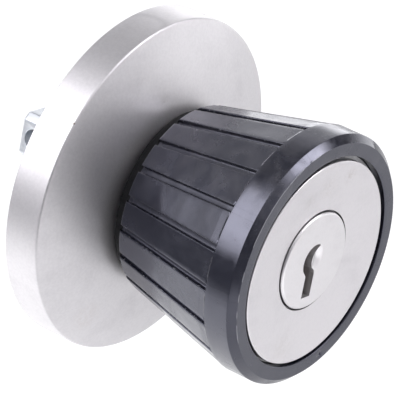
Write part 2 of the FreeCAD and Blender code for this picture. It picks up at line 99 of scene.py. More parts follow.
def addSupport(profile, longest):
    # long runs of a profile get evenly spaced points between their ends
    sides = np.diff(profile, axis=0)
    counts = np.maximum(1, np.ceil(np.linalg.norm(sides, axis=1) / longest).astype(int))
    parts = [start + side * (np.arange(n) / n)[:, None] for start, side, n in zip(profile, sides, counts)]
    return np.vstack(parts + [profile[-1:]])


def gridPiece(name, grid, material, loopRows=False, worn=None):
    # columns run round the axis and always close; rows run along the profile and close if asked;
    # worn is a number for each point that the material reads
    nu, nv = grid.shape[:2]
    i = np.arange(nu)[:, None]
    j = np.arange(nv if loopRows else nv - 1)[None]
    i2, j2 = (i + 1) % nu, (j + 1) % nv
    faces = np.stack([i * nv + j, i2 * nv + j, i2 * nv + j2, i * nv + j2], -1).reshape(-1, 4)
    mesh = bpy.data.meshes.new(name)
    mesh.vertices.add(nu * nv)
    mesh.vertices.foreach_set("co", (grid * mm).astype(np.float32).ravel())
    mesh.loops.add(faces.size)
    mesh.loops.foreach_set("vertex_index", faces.astype(np.int32).ravel())
    mesh.polygons.add(len(faces))
    mesh.polygons.foreach_set("loop_start", np.arange(0, faces.size, 4, dtype=np.int32))
    mesh.polygons.foreach_set("use_smooth", np.ones(len(faces), bool))
    mesh.update(calc_edges=True)
    if worn is not None:
        attribute = mesh.attributes.new("worn", "FLOAT", "POINT")
        attribute.data.foreach_set("value", worn.astype(np.float32).ravel())
    piece = bpy.data.objects.new(name, mesh)
    bpy.context.collection.objects.link(piece)
    mesh.materials.append(material)
    return piece


def around(radius, height, angle):
    # cylinder coordinates of the lock to x, y, z: the height runs to -Y
    return np.stack(np.broadcast_arrays(radius * np.cos(angle), -height, radius * np.sin(angle)), -1)


def fullTurn(segments):
    # the angles of a closed ring of columns
    return np.linspace(0, 2 * np.pi, segments, endpoint=False)


def softNoise(a, b, seed, waves=7):
    # sum of a few sine waves with fixed random directions and phases, scaled to about -1 to 1
    rng = np.random.default_rng(seed)
    k, phase = rng.normal(0, 1, (waves, 2)), rng.uniform(0, 2 * np.pi, waves)
    return sum(np.sin(k[n, 0] * a + k[n, 1] * b + phase[n]) for n in range(waves)) / waves ** 0.5 / 1.2


def newMaterial(name, settings):
    material = bpy.data.materials.new(name)
    material.use_nodes = True
    tree = material.node_tree
    shader = tree.nodes["Principled BSDF"]
    for socket, value in settings.items():
        shader.inputs[socket].default_value = value
    return material, tree, shader


def addNode(tree, kind, inputs=None, **options):
    node = tree.nodes.new(kind)
    for key, value in options.items():
        setattr(node, key, value)
    for key, value in (inputs or {}).items():
        if isinstance(value, bpy.types.NodeSocket):
            tree.links.new(value, node.inputs[key])
        else:
            node.inputs[key].default_value = value
    return node


def objectPoint(tree):
    return addNode(tree, "ShaderNodeTexCoord").outputs["Object"]


def objectCoords(tree, scale=(1, 1, 1)):
    return addNode(tree, "ShaderNodeMapping", {"Vector": objectPoint(tree), "Scale": scale}).outputs[0]


def splitPoint(tree, point, axis):
    return addNode(tree, "ShaderNodeSeparateXYZ", {0: point}).outputs[axis]


def noise(tree, vector, scale, detail=3.0, rough=0.5, warp=0.0):
    return addNode(tree, "ShaderNodeTexNoise", {"Vector": vector, "Scale": scale, "Detail": detail,
                                               "Roughness": rough, "Distortion": warp}).outputs[0]


def spread(tree, value, low, high, toLow, toHigh, step="LINEAR"):
    # low to high becomes toLow to toHigh and stays there beyond the ends
    limits = {"Value": value, "From Min": low, "From Max": high, "To Min": toLow, "To Max": toHigh}
    return addNode(tree, "ShaderNodeMapRange", limits, interpolation_type=step).outputs[0]


def maths(tree, kind, a, b=0.5):
    return addNode(tree, "ShaderNodeMath", {0: a, 1: b}, operation=kind).outputs[0]


def times(tree, a, b):
    return maths(tree, "MULTIPLY", a, b)


def mixColour(tree, factor, a, b):
    # sockets 0, 6 and 7 are the factor and the two colours, and output 2 is the colour
    return addNode(tree, "ShaderNodeMix", {0: factor, 6: a, 7: b}, data_type="RGBA").outputs[2]


def paintOver(tree, shader, share, colour):
    # lays a colour over the one that the shader already has
    base = shader.inputs["Base Color"].links[0].from_socket
    tree.links.new(mixColour(tree, share, base, colour), shader.inputs["Base Color"])


def addBump(tree, shader, height, strength, distance):
    # goes under the bumps that the shader already has
    node = shader
    while node.inputs["Normal"].is_linked:
        node = node.inputs["Normal"].links[0].from_node
    bump = addNode(tree, "ShaderNodeBump", {"Height": height, "Strength": strength, "Distance": distance})
    tree.links.new(bump.outputs[0], node.inputs["Normal"])


def gapTo(tree, point, centre):
    return addNode(tree, "ShaderNodeVectorMath", {0: point, 1: centre}, operation="DISTANCE").outputs["Value"]


def flatPoint(tree, point, axes):
    return addNode(tree, "ShaderNodeVectorMath", {0: point, 1: axes}, operation="MULTIPLY").outputs[0]


def gapToAxis(tree, point):
    flat = flatPoint(tree, point, (1, 0, 1))
    return addNode(tree, "ShaderNodeVectorMath", {0: flat}, operation="LENGTH").outputs["Value"]


def spot(tree, centre, radius, soft=0.4):
    # 1 inside a small ball on the surface, fading to 0 at its edge
    return spread(tree, gapTo(tree, objectPoint(tree), centre), radius * (1 - soft), radius, 1.0, 0.0)


satinMetals = {
    "roseNickel": {"colour": (0.665, 0.650, 0.668, 1), "deep": (0.60, 0.585, 0.605, 1), "rough": (0.45, 0.54),
                   "mottle": 0.45, "blast": 0.020},
    "discNickel": {"colour": (0.700, 0.680, 0.700, 1), "deep": (0.63, 0.612, 0.632, 1), "rough": (0.38, 0.46),
                   "mottle": 0.22, "blast": 0.004},
    "plugNickel": {"colour": (0.760, 0.742, 0.758, 1), "deep": (0.69, 0.672, 0.690, 1), "rough": (0.34, 0.42),
                   "mottle": 0.16, "blast": 0.003},
}
# noises have a scale, detail, roughness and distortion; ranges are the noise values that count as 0
# and 1; bumps have a strength and a height in metres
satinNoises = {"clouds": (130, 4, 0.6, 0.6), "wipes": (90, 3, 0.55, 0.3), "grain": (9000, 2, 0.5),
               "mottle": (2400, 2, 0.6)}
satinRanges = {"clouds": (0.42, 0.72), "wipes": (0.35, 0.7), "grain": (0.3, 0.7), "mottle": (0.35, 0.65)}
satinShares = {"leastWipe": 0.2, "leastMottle": -0.1, "grainRough": (-0.02, 0.02)}
satinBumps = {"grain": (0.25, 0.00001), "mottle": 0.5}
wipesStretch = (1, 1, 5)


def satinNickel(name):
    # blasted and plated metal: fine grain and a coarser mottle in bump, and faint cloudy smudges in colour
    plan = satinMetals[name]
    material, tree, shader = newMaterial(name, {"Metallic": 1.0})
    where = objectCoords(tree)
    clouds = noise(tree, where, *satinNoises["clouds"])
    wipes = noise(tree, objectCoords(tree, wipesStretch), *satinNoises["wipes"])
    smudge = times(tree, spread(tree, clouds, *satinRanges["clouds"], 0, 1),
                   spread(tree, wipes, *satinRanges["wipes"], satinShares["leastWipe"], 1))
    grain = noise(tree, where, *satinNoises["grain"])
    mottle = noise(tree, where, *satinNoises["mottle"])
    mottled = spread(tree, mottle, *satinRanges["mottle"], satinShares["leastMottle"], plan["mottle"])
    share = maths(tree, "ADD", smudge, mottled)
    tree.links.new(mixColour(tree, share, plan["colour"], plan["deep"]), shader.inputs["Base Color"])
    rough = maths(tree, "ADD", spread(tree, smudge, 0, 1, *plan["rough"]),
                  spread(tree, grain, *satinRanges["grain"], *satinShares["grainRough"]))
    tree.links.new(rough, shader.inputs["Roughness"])
    addBump(tree, shader, grain, *satinBumps["grain"])
    addBump(tree, shader, mottle, satinBumps["mottle"], plan["blast"] * mm)
    return material, tree, shader


roseNickel, roseTree, roseShader = satinNickel("roseNickel")
discNickel, discTree, discShader = satinNickel("discNickel")
plugNickel, plugTree, plugShader = satinNickel("plugNickel")

# a nick in the rim's edge
roseNick = {"angle": 146.8, "radius": 24.86, "height": 5.35, "size": 0.20, "colour": (0.26, 0.22, 0.20, 1)}
nickPlace = around(roseNick["radius"], roseNick["height"], np.radians(roseNick["angle"])) * mm
paintOver(roseTree, roseShader, spot(roseTree, tuple(nickPlace), roseNick["size"] * mm), roseNick["colour"])

# stains: where they are, centre and radius in metres, share of the colour, colour
stains = [
    (discTree, discShader, (0.0044, -0.0346, 0.0120), 0.0016, 0.30, (0.36, 0.31, 0.29, 1)),
    (discTree, discShader, (0.0, -0.0345, 0.0112), 0.0026, 0.22, (0.40, 0.36, 0.33, 1)),
    (discTree, discShader, (-0.0040, -0.0344, 0.0098), 0.0018, 0.20, (0.38, 0.35, 0.33, 1)),
    (discTree, discShader, (-0.0040, -0.0346, -0.0125), 0.0034, 0.16, (0.46, 0.42, 0.38, 1)),
    (roseTree, roseShader, (-0.0121, -0.0070, -0.0172), 0.0030, 0.16, (0.42, 0.33, 0.28, 1)),
    (roseTree, roseShader, (-0.0103, -0.0075, 0.0165), 0.0003, 0.8, (0.12, 0.11, 0.11, 1)),
    (roseTree, roseShader, (-0.0052, -0.0085, 0.0151), 0.0011, 0.25, (0.30, 0.28, 0.28, 1)),
]
stainNoise, stainRange, stainSoft = (900, 4, 0.7, 1.5), (0.40, 0.62), 0.8
for tree, shader, centre, radius, share, colour in stains:
    # a smudge fades from its middle and is broken up by noise
    ragged = spread(tree, noise(tree, objectCoords(tree), *stainNoise), *stainRange, 0, share)
    paintOver(tree, shader, times(tree, spot(tree, centre, radius, stainSoft), ragged), colour)

# a wiped ring is left high on the rim: only its right part shows, and it stops before the rim's edge
wipedRing = {"radius": 24.95, "height": 3.0, "angle": 103, "share": 0.26, "inner": (0.0022, 0.0031),
             "outer": (0.0032, 0.0040), "Y": (-0.0056, -0.0052), "X": (-0.0058, -0.0045),
             "colour": (0.34, 0.33, 0.35, 1)}
ringPlace = around(wipedRing["radius"], wipedRing["height"], np.radians(wipedRing["angle"])) * mm
roseWhere = objectPoint(roseTree)
ringGap = gapTo(roseTree, roseWhere, tuple(ringPlace))
wiped = times(roseTree, spread(roseTree, ringGap, *wipedRing["inner"], 0, wipedRing["share"]),
              spread(roseTree, ringGap, *wipedRing["outer"], 1, 0))
for axis in ("Y", "X"):
    within = spread(roseTree, splitPoint(roseTree, roseWhere, axis), *wipedRing[axis], 0, 1)
    wiped = times(roseTree, wiped, within)
paintOver(roseTree, roseShader, wiped, wipedRing["colour"])

# the disc's hole wall round the plug is painted near-black: painted shade in the gap to the plug
holeGapShade = {"reach": (0.00744, 0.00750), "colour": (0.05, 0.048, 0.05, 1)}
discGapShade = spread(discTree, gapToAxis(discTree, objectPoint(discTree)), *holeGapShade["reach"], 1, 0)
paintOver(discTree, discShader, discGapShade, holeGapShade["colour"])

# inside the keyway, from a little below the face, the plug is painted brown-grey as painted shade down in the
# slot, and is not metal there
keyShade = {"depth": (-0.03449, -0.0336), "reach": 0.0066, "fade": 0.0003, "dark": (0.22, 0.20, 0.20, 1)}
plugWhere = objectPoint(plugTree)
below = spread(plugTree, splitPoint(plugTree, plugWhere, "Y"), *keyShade["depth"], 0, 1)
inside = spread(plugTree, gapToAxis(plugTree, plugWhere), keyShade["reach"] - keyShade["fade"],
                keyShade["reach"], 1, 0)
keyDark = times(plugTree, below, inside)
paintOver(plugTree, plugShader, keyDark, keyShade["dark"])
plugTree.links.new(maths(plugTree, "SUBTRACT", 1.0, keyDark), plugShader.inputs["Metallic"])

# on the right of the keyway's hook the face sinks a little towards the key's lead-in
keyDish = {"centre": (-0.0006, -0.0345, 0.0007), "reach": (0.0002, 0.0024), "depth": 0.0006,
           "X": (-0.0006, -0.0001)}
dish = spread(plugTree, gapTo(plugTree, plugWhere, keyDish["centre"]), *keyDish["reach"], 0, 1, "SMOOTHSTEP")
rightSide = spread(plugTree, splitPoint(plugTree, plugWhere, "X"), *keyDish["X"], 0, 1)
addBump(plugTree, plugShader, times(plugTree, maths(plugTree, "SUBTRACT", dish, 1.0), rightSide), 1.0,
        keyDish["depth"])

# the dust grows between the two dustHeights on Z, and the lands stop between the two landEnds on Y
blackMoulding = {"land": (0.005, 0.0055, 0.011, 1), "dusty": (0.035, 0.034, 0.040, 1),
                 "grit": (0.50, 0.50, 0.53, 1), "tint": (0.80, 0.81, 0.98, 1), "dustHeights": (0.002, 0.012),
                 "landEnds": (-0.0296, -0.0285), "rough": (0.14, 0.32),
                 "dull": (0.0025, 0.0025, 0.004, 1), "dullDust": (0.010, 0.010, 0.012, 1),
                 "dullRough": (0.55, 0.75)}
blackNoises = {"marks": (220, 4, 0.6, 0.8), "dust": (2600, 2, 0.5), "peel": (1500, 2, 0.5),
               "clouds": (330, 3, 0.6, 1.0), "drift": (170, 2, 0.5), "dullGrain": (3200, 2, 0.5),
               "dullClouds": (900, 3, 0.6)}
blackRanges = {"marks": (0.35, 0.7), "specks": (0.66, 0.74), "clouds": (0.4, 0.66), "edge": (0.08, 0.2),
               "edgeGrit": (0.60, 0.70), "flash": (1.0, 1.8), "groove": (0.5, 1), "dullGrain": (0.3, 0.7),
               "dullClouds": (0.45, 0.7)}
blackBumps = {"peel": (0.12, 0.00003), "drift": (0.5, 0.0002), "dullGrain": (0.3, 0.00002)}
blackShares = {"specks": 0.6, "leastDust": 0.1, "dust": 0.9, "grit": 0.5, "flash": 0.42, "grooveRough": 0.12}


def blackPlastic():
    # glossy black moulding: faint orange peel, finger marks that dull the gloss, and dust on its upper side
    settings = {"IOR": 1.88, "Specular Tint": blackMoulding["tint"]}
    material, tree, shader = newMaterial("blackPlastic", settings)
    where = objectCoords(tree)
    marks, dust, peel, clouds, drift = [noise(tree, where, *blackNoises[name])
                                        for name in ("marks", "dust", "peel", "clouds", "drift")]
    share = blackShares
    specks = spread(tree, dust, *blackRanges["specks"], 0, share["specks"])
    upper = spread(tree, splitPoint(tree, where, "Z"), *blackMoulding["dustHeights"], 0, share["dust"])
    cloudy = times(tree, upper, spread(tree, clouds, *blackRanges["clouds"], share["leastDust"], 1))
    dusting = maths(tree, "MAXIMUM", specks, cloudy)
    colour = mixColour(tree, dusting, blackMoulding["land"], blackMoulding["dusty"])
    # pale grit caught along the grooves' edges, and the broken line of flash round the front
    worn = addNode(tree, "ShaderNodeAttribute", attribute_name="worn").outputs["Fac"]
    onLands = spread(tree, splitPoint(tree, where, "Y"), *blackMoulding["landEnds"], 0, 1)
    edge = times(tree, times(tree, worn, maths(tree, "SUBTRACT", 1.0, worn)), onLands)
    grit = times(tree, spread(tree, edge, *blackRanges["edge"], 0, 1),
                 spread(tree, dust, *blackRanges["edgeGrit"], 0, share["grit"]))
    grit = maths(tree, "MAXIMUM", grit, spread(tree, worn, *blackRanges["flash"], 0, share["flash"]))
    tree.links.new(mixColour(tree, grit, colour, blackMoulding["grit"]), shader.inputs["Base Color"])
    rough = maths(tree, "ADD", spread(tree, marks, *blackRanges["marks"], *blackMoulding["rough"]),
                  spread(tree, worn, *blackRanges["groove"], 0, share["grooveRough"]))
    tree.links.new(rough, shader.inputs["Roughness"])
    addBump(tree, shader, peel, *blackBumps["peel"])
    addBump(tree, shader, times(tree, drift, onLands), *blackBumps["drift"])
    return material


def dullPlastic():
    # the same black as the mould left it: dull and fine grained, with a little dust
    material, tree, shader = newMaterial("dullPlastic", {"IOR": 1.45, "Specular IOR Level": 0.3})
    where = objectCoords(tree)
    grain = noise(tree, where, *blackNoises["dullGrain"])
    dusty = spread(tree, noise(tree, where, *blackNoises["dullClouds"]), *blackRanges["dullClouds"], 0, 1)
    tree.links.new(mixColour(tree, dusty, blackMoulding["dull"], blackMoulding["dullDust"]),
                   shader.inputs["Base Color"])
    rough = spread(tree, grain, *blackRanges["dullGrain"], *blackMoulding["dullRough"])
    tree.links.new(rough, shader.inputs["Roughness"])
    addBump(tree, shader, grain, *blackBumps["dullGrain"])
    return material


plainNoises = {"clouds": (260, 4, 0.6, 0.5), "grain": (3, 0.6)}
plainRanges = {"clouds": (0.35, 0.7), "grain": (0.3, 0.7)}
plainBump = 0.5


def plainMetal(name, colour, deep, rough, grainScale, grainHeight, stretch=(1, 1, 1), metallic=1.0):
    # cast, drawn or turned metal: cloudy colour, roughness and fine bump from noise stretched along the work
    material, tree, shader = newMaterial(name, {"Metallic": metallic})
    where = objectCoords(tree, stretch)
    clouds = spread(tree, noise(tree, where, *plainNoises["clouds"]), *plainRanges["clouds"], 0, 1)
    grain = noise(tree, where, grainScale, *plainNoises["grain"])
    tree.links.new(mixColour(tree, clouds, (*colour, 1), (*deep, 1)), shader.inputs["Base Color"])
    tree.links.new(spread(tree, grain, *plainRanges["grain"], *rough), shader.inputs["Roughness"])
    addBump(tree, shader, grain, plainBump, grainHeight)
    return material


mouldedBlack, dullBlack = blackPlastic(), dullPlastic()
# the plain ones: colour, deeper colour, roughness, grain's scale and height, stretch of the grain
finishes = {
    "satin_nickel": roseNickel,
    "disc_nickel": discNickel,
    "plug_nickel": plugNickel,
    "black_plastic": mouldedBlack,
    "cast_zinc": plainMetal("castZinc", (0.50, 0.50, 0.51), (0.38, 0.38, 0.39), (0.45, 0.62), 1800, 0.00004),
    "zinc_plate": plainMetal("zincPlate", (0.72, 0.74, 0.77), (0.60, 0.63, 0.68), (0.40, 0.52), 1500, 0.00001,
                             (6, 1, 6)),
    "turned_steel": plainMetal("turnedSteel", (0.60, 0.60, 0.62), (0.48, 0.48, 0.50), (0.28, 0.42), 900,
                               0.00001, (1, 14, 1)),
    "spring_steel": plainMetal("springSteel", (0.42, 0.40, 0.39), (0.30, 0.29, 0.29), (0.25, 0.38), 2500,
                               0.000006),
    "brass": plainMetal("waferBrass", (0.75, 0.60, 0.33), (0.60, 0.46, 0.24), (0.30, 0.45), 2000, 0.00001),
    "nylon": plainMetal("washerNylon", (0.78, 0.77, 0.72), (0.70, 0.69, 0.64), (0.45, 0.6), 1200, 0.00001,
                        metallic=0.0),
}
print("materials ready")


roseCover = {"radius": 24.95, "rim": 5.5, "rise": 5.0, "wall": 1.0, "edge": 0.4, "hole": 12.5,
             "footRun": 0.5, "footRound": 0.08, "holeRound": 0.06, "outerRows": 60, "innerRows": 30,
             "skipped": 4, "longest": 0.8, "segments": 300, "wave": 0.012, "waveScale": 0.25, "waveSeed": 3}


def buildRose():
    # pressed cover: straight rim, rounded edge, spherical dome down to the neck's hole, then the same
    # way back on the inside; the dome's height is centre + sqrt(sphere^2 - r^2)
    p = roseCover
    sphere = (p["radius"] ** 2 + p["rise"] ** 2) / (2 * p["rise"])
    centre = p["rim"] + p["rise"] - sphere
    outer = np.linspace(p["radius"], p["hole"], p["outerRows"])
    inner = np.linspace(p["hole"], p["radius"] - p["wall"], p["innerRows"])
    top = np.column_stack([outer, centre + np.sqrt(sphere ** 2 - outer ** 2)])
    under = np.column_stack([inner, centre + np.sqrt((sphere - p["wall"]) ** 2 - inner ** 2)])
    # the rounded edge takes the place of the dome's first rows
    rim = np.vstack([[p["radius"] - p["footRun"], 0], [p["radius"], 0], top[0], top[p["skipped"]]])
    rim = roundCorners(rim, [0, p["footRound"], p["edge"], 0], 8)[:-1]
    hole = np.vstack([top[-2], top[-1], under[0], under[1]])
    hole = roundCorners(hole, [0, p["holeRound"], p["holeRound"], 0], 4)[1:-1]
    foot = np.array([[p["radius"] - p["wall"], 0.0]])
    profile = addSupport(np.vstack([rim, top[p["skipped"]:-1], hole, under[1:], foot]), p["longest"])
    turn = fullTurn(p["segments"])[:, None]
    r, h = profile[None, :, 0], profile[None, :, 1]
    waver = softNoise(r * np.cos(turn) * p["waveScale"], r * np.sin(turn) * p["waveScale"], p["waveSeed"])
    sunk = np.abs(p["wave"] * waver * (h > p["rim"]))
    return gridPiece("rose_skin", around(r, h - sunk, turn), roseNickel, True)


rose = buildRose()
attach(rose, "rose")
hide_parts("rose_cover")
print("rose done")


knobBody = {"neck": 12.9, "neckFoot": 9.5, "back": 11.0, "backRadius": 14.22, "backRound": 1.1, "backRows": 8,
            "dullRows": 4, "fluteTop": 29.93, "topRadius": 18.6, "flutes": 20, "phase": 4.4,
            "landRows": 60, "landColumns": 3, "firstLand": 0.25, "landReach": 0.6,
            "grooveHalf": 0.475, "grooveDepth": 0.8, "grooveRound": 0.26, "landEdge": 0.14,
            "collar": 18.55, "chamferStart": 33.84, "front": 34.84, "frontOuter": 17.55, "bore": 15.6,
            "discSeat": 31.4, "cavity": 15.2, "core": 11.9, "coreTop": 14.0, "floor": 12.0, "journal": 7.05,
            "neckRun": 0.5, "collarRun": 0.4, "collarGap": 0.004, "longest": 0.75,
            "chamferRows": (0.75, 0.62, 0.5, 0.38, 0.25, 0.1), "ringEdge": 0.12,
            "ringRows": (17.0, 16.88, 16.76, 16.64, 16.52, 16.4)}
# each noise has its waves round the axis, its waves along it and its seed
landWear = {"sink": 0.035, "wave": 0.006, "burr": 0.03, "sinkNoise": (9, 0.22, 11), "waveNoise": (14, 1, 7),
            "burrNoise": (40, 3.1, 29), "burrLeast": 0.75, "burrDepths": (0.01, 0.15), "wornDepth": 0.04,
            "wornRun": 0.2, "backRun": 1.2, "backFade": 2, "topFade": 1.5, "floorDepth": 0.3}
knobMarks = {"flashHeight": 0.05, "flashWidth": 0.12, "flashAngles": (95, 215), "flashFade": 12,
             "raggedNoise": (60, 17, 5), "raggedLift": 0.25, "brokenNoise": (45, 23, 19), "brokenLift": 0.7,
             "wornFlash": 2, "wornGain": 3, "wornLeast": 0.8, "nickReach": 0.3,
             "nickAngle": -69.3, "nickRadius": 16.74, "nickSize": 0.5, "nickDepth": 0.35,
             "nubAngle": -44.0, "nubSize": 0.32, "nubHeight": 0.10, "nubAt": 34.3}
noLimit = 99.0


def flutePattern():
    # half a groove in its own frame, as (sideways distance, offset from the corner radius): the floor,
    # the wall and the edge of the land, with rounded corners
    k = knobBody
    lean = np.tan(np.pi / k["flutes"])
    g, d = k["grooveHalf"], k["grooveDepth"]
    beyond = g + k["landReach"]
    corners = [(0, -d), (g, -d), (g, -g * lean), (beyond, -beyond * lean)]
    return roundCorners(corners, [0, k["grooveRound"], k["landEdge"], 0], 4)[:-1]


def fluteSection(cornerRadius):
    # one flute from the middle of a groove to the middle of the next: groove, flat land, groove
    half = flutePattern()
    step = np.pi / knobBody["flutes"]
    along = np.linspace(0, 1, knobBody["landColumns"] + 2)[1:-1]
    cr = np.asarray(cornerRadius, float)[..., None]
    rho, tau = cr + half[:, 1], np.broadcast_to(half[:, 0], cr.shape[:-1] + (len(half),))
    midRho, midTau = cr * np.cos(step) ** 2, cr * np.cos(step) * np.sin(step)
    landRho = rho[..., -1:] + (midRho - rho[..., -1:]) * along
    landTau = tau[..., -1:] + (midTau - tau[..., -1:]) * along
    rho = np.concatenate([rho, landRho, midRho], -1)
    tau = np.concatenate([tau, landTau, midTau], -1)
    radius, angle = np.hypot(rho, tau), np.arctan2(tau, rho)
    return (np.concatenate([radius, radius[..., -2:0:-1]], -1),
            np.concatenate([angle, 2 * step - angle[..., -2:0:-1]], -1))


def knobRows():
    # the profile's rows as (limit radius, height), and what each belongs to: 0 for neck and rounded back
    # edge, 1 for the lands, 2 for the collar, the front and the bores
    k = knobBody
    lean = np.arctan((k["topRadius"] - k["backRadius"]) / (k["fluteTop"] - k["back"]))
    run = k["backRound"] * np.tan((np.pi / 2 - lean) / 2)
    bend = np.linspace(-np.pi / 2, -lean, k["backRows"])
    back = np.column_stack([k["backRadius"] - run + k["backRound"] * np.cos(bend),
                            k["back"] + k["backRound"] + k["backRound"] * np.sin(bend)])
    neck = [(k["neck"] - k["neckRun"], k["neckFoot"]), (k["neck"], k["neckFoot"]), (k["neck"], k["back"]),
            back[0]]
    neck = roundCorners(neck, [0, 0.1, 0.15, 0], 4)[:-1]
    lands = np.column_stack([np.full(k["landRows"], noLimit),
                             np.linspace(back[-1, 1] + k["firstLand"], k["fluteTop"], k["landRows"])])
    # extra points stand where the flash, the gate mark and the dent need them
    outer, front, collarFoot = k["frontOuter"], k["front"], k["fluteTop"] + k["collarGap"]
    chamfer = [(outer + t, front - t) for t in k["chamferRows"]]
    ring = [(r, front) for r in (outer - k["ringEdge"], *k["ringRows"])]
    turned = [(k["collar"] - k["collarRun"], collarFoot), (k["collar"], collarFoot),
              (k["collar"], k["chamferStart"]), *chamfer, (outer, front), *ring, (k["bore"], front),
              (k["bore"], k["discSeat"]), (k["cavity"], k["discSeat"]), (k["core"], k["coreTop"]),
              (k["core"], k["floor"]), (k["journal"], k["floor"]), (k["journal"], k["neckFoot"])]
    rounds = [0, 0.08, 0.12] + [0] * len(chamfer) + [0.06] + [0] * len(ring) + [0.12, 0.1, 0, 0, 0, 0, 0]
    turned = addSupport(roundCorners(turned, rounds, 5)[1:], k["longest"])
    kind = np.repeat([0, 1, 2], [len(neck) + len(back), len(lands), len(turned)])
    return np.vstack([neck, back, lands, turned]), kind, len(neck)


def skinNoise(theta, along, plan):
    # noise over the knob's skin, or along its edge if both measures are the angle
    return softNoise(theta * plan[0], along * plan[1], plan[2])


def ball(x, z, angle, radius, size, height=0.0):
    # 1 at one place of the knob's skin, fading as exp(-(distance / half the size)^2)
    at = np.radians(angle)
    gap = (x - radius * np.cos(at)) ** 2 + (z - radius * np.sin(at)) ** 2 + height ** 2
    return np.exp(-gap / (size / 2) ** 2)


def buildKnob():
    # rows carry a height, the corner radius of the fluted body there and a limit radius: a point
    # stands at the smaller of the two, so turned rows (neck, collar, bore) are plain circles
    k, w, m = knobBody, landWear, knobMarks
    rows, kind, neckRows = knobRows()
    slope = (k["topRadius"] - k["backRadius"]) / (k["fluteTop"] - k["back"])
    corner = k["backRadius"] + slope * (np.clip(rows[:, 1], k["back"], k["fluteTop"]) - k["back"])
    radius, angle = fluteSection(corner)
    limit = rows[:, 0][:, None]
    radius = np.where((kind == 2)[:, None], limit, np.minimum(radius, limit))
    turns = np.radians(k["phase"]) + np.arange(k["flutes"]) * 2 * np.pi / k["flutes"]
    theta = (turns[:, None, None] + angle[None]).transpose(0, 2, 1).reshape(-1, len(rows))
    r = np.broadcast_to(radius.T[None], (k["flutes"],) + radius.T.shape).reshape(-1, len(rows)).copy()
    h = np.broadcast_to(rows[:, 1], r.shape).copy()
    # lands sink a few hundredths between their ends, each a little differently, and their edges are ragged
    step = np.pi / k["flutes"]
    depth = corner * np.cos(step) - r * np.cos((theta - np.radians(k["phase"])) % (2 * step) - step)
    ends = (np.clip((h - k["back"] - w["backRun"]) / w["backFade"], 0, 1)
            * np.clip((k["fluteTop"] - h) / w["topFade"], 0, 1))
    ends = ends * ends * (3 - 2 * ends)
    sink = (w["sink"] * (0.5 + 0.5 * skinNoise(theta, h, w["sinkNoise"]))
            + w["wave"] * skinNoise(theta, h, w["waveNoise"]))
    r -= sink * ends * (depth < w["floorDepth"])
    shallow, deep = w["burrDepths"]
    burr = np.clip(skinNoise(theta, h, w["burrNoise"]) - w["burrLeast"], 0, 1)
    r += w["burr"] * (burr * (depth > shallow) * (depth < deep)) * ends
    # worn share of the skin: about half along the grooves' edges, up to 1 down in them, more on the flash
    worn = np.where(kind == 1, np.clip((depth - w["wornDepth"]) / w["wornRun"], 0, 1), 0.0)
    # moulding flash: a thin broken fin where the chamfer meets the front ring
    degrees = np.degrees(theta) % 360
    fromEdge = np.hypot(r - k["frontOuter"], h - k["front"])
    ridge = np.exp(-((fromEdge / m["flashWidth"]) ** 2)) * (kind == 2)
    start, end = m["flashAngles"]
    window = (np.clip((degrees - start) / m["flashFade"], 0, 1)
              * np.clip((end - degrees) / m["flashFade"], 0, 1))
    ragged = np.clip(skinNoise(theta, theta, m["raggedNoise"]) + m["raggedLift"], 0, 1)
    r += m["flashHeight"] * ridge * window * ragged
    broken = np.clip(m["brokenLift"] + skinNoise(theta, theta, m["brokenNoise"]), 0, 1)
    flash = np.clip(m["wornGain"] * ridge * window * broken - m["wornLeast"], 0, 1)
    worn = np.maximum(worn, m["wornFlash"] * flash)
    # small dent in the front ring and a gate mark on the chamfer
    x, z = r * np.cos(theta), r * np.sin(theta)
    dent = ball(x, z, m["nickAngle"], m["nickRadius"], m["nickSize"])
    h -= m["nickDepth"] * (dent * (np.abs(h - k["front"]) < m["nickReach"]))
    mid = (k["collar"] + k["frontOuter"]) / 2
    r += m["nubHeight"] * ball(x, z, m["nubAngle"], mid, m["nubSize"], h - m["nubAt"]) * (kind == 2)
    grid = around(np.minimum(r, k["topRadius"]), np.minimum(h, k["front"]), theta)
    piece = gridPiece("knob_skin", grid, mouldedBlack, True, worn)
    # the neck and the first of the rounded back edge keep the mould's dull skin
    piece.data.materials.append(dullBlack)
    dull = np.broadcast_to(np.arange(len(rows)) < neckRows + k["dullRows"], r.shape)
    piece.data.polygons.foreach_set("material_index", dull.astype(np.int32).ravel())
    return piece


knob = buildKnob()
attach(knob, "knob")
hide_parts("knob_shell")
print("knob done, faces:", len(knob.data.polygons))


faceDisc = {"radius": 15.05, "rimHeight": 34.77, "holeRadius": 7.42, "holeHeight": 34.15, "seat": 33.4,
            "offset": 0.17, "offsetAngle": 215.0, "foot": 0.3, "longest": 0.5, "segments": 240}


def buildDisc():
    # dished disc: height rises from the hole to the rim in a straight line, and the outline sits a
    # little off centre towards the lower left, as pressed in by hand
    p = faceDisc
    hole, rim = p["holeRadius"], p["radius"]
    corners = [(hole + p["foot"], p["seat"]), (hole, p["seat"]), (hole, p["holeHeight"]),
               (rim, p["rimHeight"]), (rim, p["seat"]), (rim - p["foot"], p["seat"])]
    profile = addSupport(roundCorners(corners, [0, 0.05, 0.08, 0.17, 0.05, 0], 6), p["longest"])
    turn = fullTurn(p["segments"])[:, None]
    r, h = profile[None, :, 0], profile[None, :, 1]
    share = (r - hole) / (rim - hole)
    at = np.radians(p["offsetAngle"])
    grid = around(r, h, turn)
    grid[..., 0] += p["offset"] * share * np.cos(at)
    grid[..., 2] += p["offset"] * share * np.sin(at)
    return gridPiece("disc_skin", grid[:, ::-1], discNickel, True)


disc = buildDisc()
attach(disc, "knob")
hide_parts("face_disc")
print("disc done")


boltSpring = {"radius": 1.32, "wire": 0.148, "turns": 6, "axisZ": 8.8, "pinTravel": 2.6,
              "along": 300, "section": 12, "pole": 0.000001}


